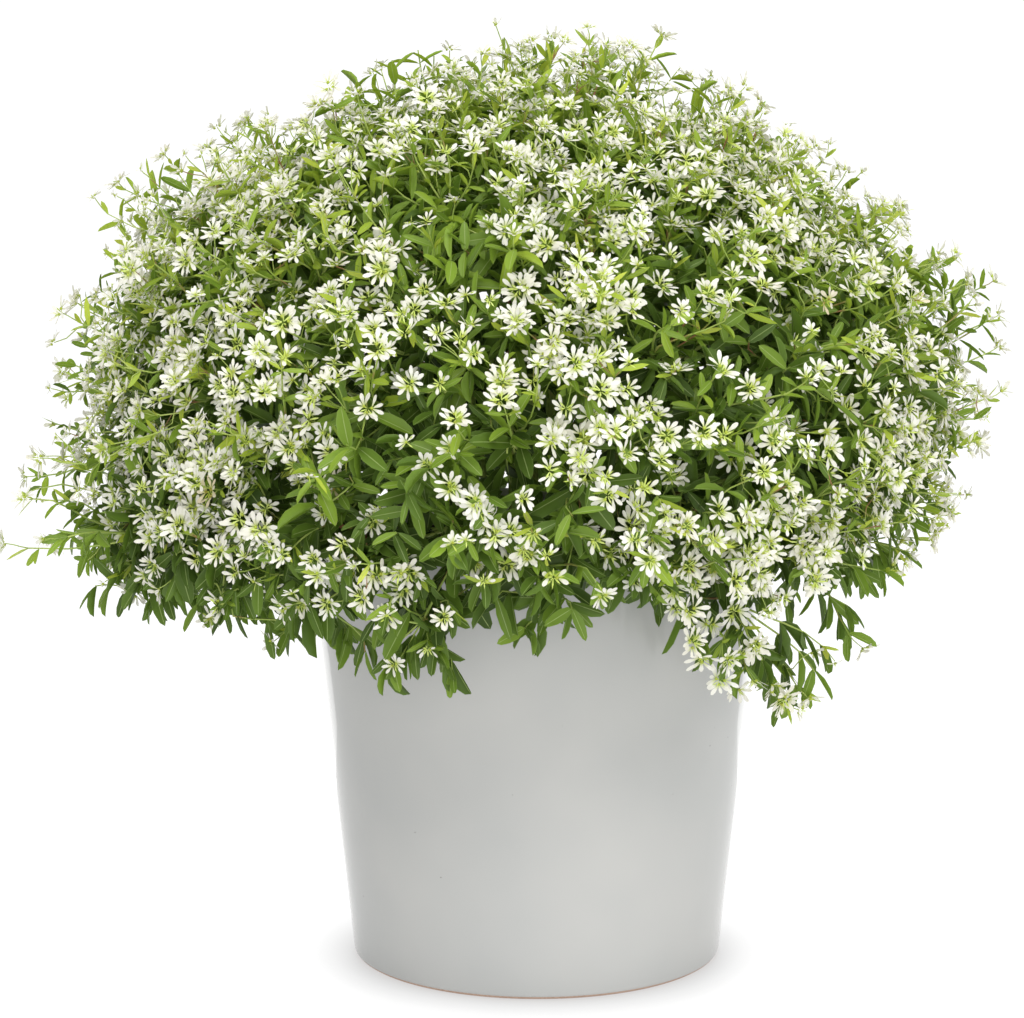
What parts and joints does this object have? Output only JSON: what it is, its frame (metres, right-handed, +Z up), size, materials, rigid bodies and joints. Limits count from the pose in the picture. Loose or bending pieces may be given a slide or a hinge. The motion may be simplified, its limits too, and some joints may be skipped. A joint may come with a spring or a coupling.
{
  "type": "potted euphorbia",
  "caption": "Mound-shaped white-flowering euphorbia with many small leaves on thin branching stems, growing in potting mix in a tall tapered glazed pot.",
  "frame": {"origin": "middle of the pot's foot, on the surface that the pot stands on", "axes": "+Z up along the pot's axis, -Y towards the side that the plant is looked at from, +X to the right of that view"},
  "size_m": [0.5928, 0.5939, 0.5504],
  "materials": {
    "pot_glaze": "satin",
    "earth": "matte",
    "leaf_green": "satin",
    "bract_white": "matte"
  },
  "bodies": {
    "root": {"pot": "pot_glaze", "potting_mix": "earth", "leafy_spray_01": "leaf_green", "leafy_spray_02": "leaf_green", "leafy_spray_03": "leaf_green", "leafy_spray_04": "leaf_green", "leafy_spray_05": "leaf_green", "leafy_spray_06": "leaf_green", "leafy_spray_07": "leaf_green", "leafy_spray_08": "leaf_green", "leafy_spray_09": "leaf_green", "leafy_spray_10": "leaf_green", "leafy_spray_11": "leaf_green", "leafy_spray_12": "leaf_green", "leafy_spray_13": "leaf_green", "leafy_spray_14": "leaf_green", "leafy_spray_15": "leaf_green", "leafy_spray_16": "leaf_green", "leafy_spray_17": "leaf_green", "leafy_spray_18": "leaf_green", "leafy_spray_19": "leaf_green", "leafy_spray_20": "leaf_green", "leafy_spray_21": "leaf_green", "leafy_spray_22": "leaf_green", "leafy_spray_23": "leaf_green", "leafy_spray_24": "leaf_green", "flower_head_01": "bract_white", "flower_head_02": "bract_white", "flower_head_03": "bract_white", "flower_head_04": "bract_white", "flower_head_05": "bract_white", "flower_head_06": "bract_white", "flower_head_07": "bract_white", "flower_head_08": "bract_white", "flower_head_09": "bract_white", "flower_head_10": "bract_white", "flower_head_11": "bract_white", "flower_head_12": "bract_white", "flower_head_13": "bract_white", "flower_head_14": "bract_white", "flower_head_15": "bract_white", "flower_head_16": "bract_white", "flower_head_17": "bract_white", "flower_head_18": "bract_white", "flower_head_19": "bract_white", "flower_head_20": "bract_white", "flower_head_21": "bract_white", "flower_head_22": "bract_white", "flower_head_23": "bract_white", "flower_head_24": "bract_white"}
  },
  "joints": []
}
